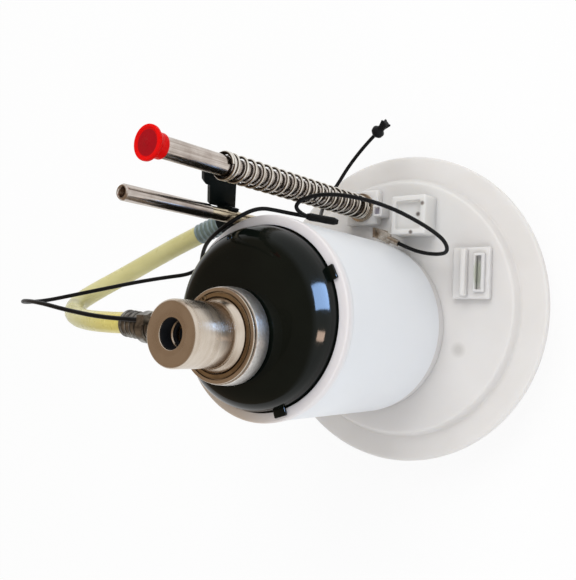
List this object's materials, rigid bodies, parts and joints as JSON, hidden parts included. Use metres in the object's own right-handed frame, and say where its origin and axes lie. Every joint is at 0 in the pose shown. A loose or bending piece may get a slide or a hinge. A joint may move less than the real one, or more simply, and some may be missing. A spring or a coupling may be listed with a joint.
{
  "type": "in-tank fuel filter assembly",
  "caption": "Fuel filter module: domed canister with pressure regulator, hose, sprung guide rod and thin tube on a round milky flange.",
  "frame": {"origin": "centre of the foot of the flange, on the surface that the foot stands on", "axes": "+Z from the flange to the pressure regulator, +Y from the flange's centre towards the sprung rod"},
  "size_m": [0.1593, 0.1387, 0.1469],
  "materials": {
    "flange_milky": "smooth translucent milky plastic",
    "can_white": "satin white plastic",
    "cap_black": "glossy black plastic",
    "seal_rubber": "matt black rubber",
    "filter_paper": "pleated filter paper",
    "element_plastic": "plain moulded plastic",
    "regulator_steel": "warm polished steel",
    "collar_steel": "brushed light grey steel",
    "valve_brass": "turned brass",
    "spring_steel": "spring wire",
    "clip_steel": "round wire",
    "rod_steel": "bright drawn steel",
    "cap_red": "bright red plastic",
    "bracket_black": "black plastic",
    "hose_yellow": "translucent yellow-green tube",
    "ferrule_dark": "dark ribbed metal",
    "lead_black": "black insulation",
    "connector_black": "black plastic",
    "outlet_grey": "grey plastic"
  },
  "bodies": {
    "module": {"flange": "flange_milky", "filter_can": "can_white", "end_cap": "cap_black", "cap_seal": "seal_rubber", "nozzle_seal": "seal_rubber", "filter_element": "filter_paper", "element_disc_bottom": "element_plastic", "element_disc_top": "element_plastic", "centre_tube": "element_plastic", "regulator_shell": "regulator_steel", "regulator_collar": "collar_steel", "valve_seat": "regulator_steel", "valve_spring": "spring_steel", "diaphragm": "seal_rubber", "regulator_clip": "clip_steel", "guide_rod": "rod_steel", "spring_washer": "clip_steel", "rod_spring": "spring_steel", "feed_tube": "rod_steel", "feed_tube_tip": "rod_steel", "fuel_hose": "hose_yellow", "hose_nipple": "collar_steel", "hose_ferrule": "ferrule_dark", "inlet_elbow": "bracket_black", "earth_lead": "lead_black", "looped_lead": "lead_black", "tail_lead": "lead_black", "lead_splice": "lead_black", "spade_terminal": "clip_steel", "earth_tab": "clip_steel", "lead_clip": "clip_steel", "tail_connector": "connector_black", "outlet_elbow": "outlet_grey", "return_elbow": "outlet_grey"},
    "pull_cap": {"red_cap": "cap_red"},
    "sprung_bracket": {"rod_bracket": "bracket_black"},
    "valve": {"regulator_valve": "valve_brass"}
  },
  "joints": [
    {"name": "cap_pull", "type": "slide", "parent": "module", "child": "pull_cap", "axis": [0, 0, 1], "range_m": [0, 0.006]},
    {"name": "bracket_slide", "type": "slide", "parent": "module", "child": "sprung_bracket", "axis": [0, 0, -1], "range_m": [0, 0.035], "stiffness_N_per_m": 250, "springref_m": -0.02, "deforming": ["rod_spring"]},
    {"name": "valve_slide", "type": "slide", "parent": "module", "child": "valve", "axis": [0, 0, -1], "range_m": [0, 0.0015], "stiffness_N_per_m": 800, "springref_m": -0.004, "deforming": ["valve_spring"]}
  ]
}
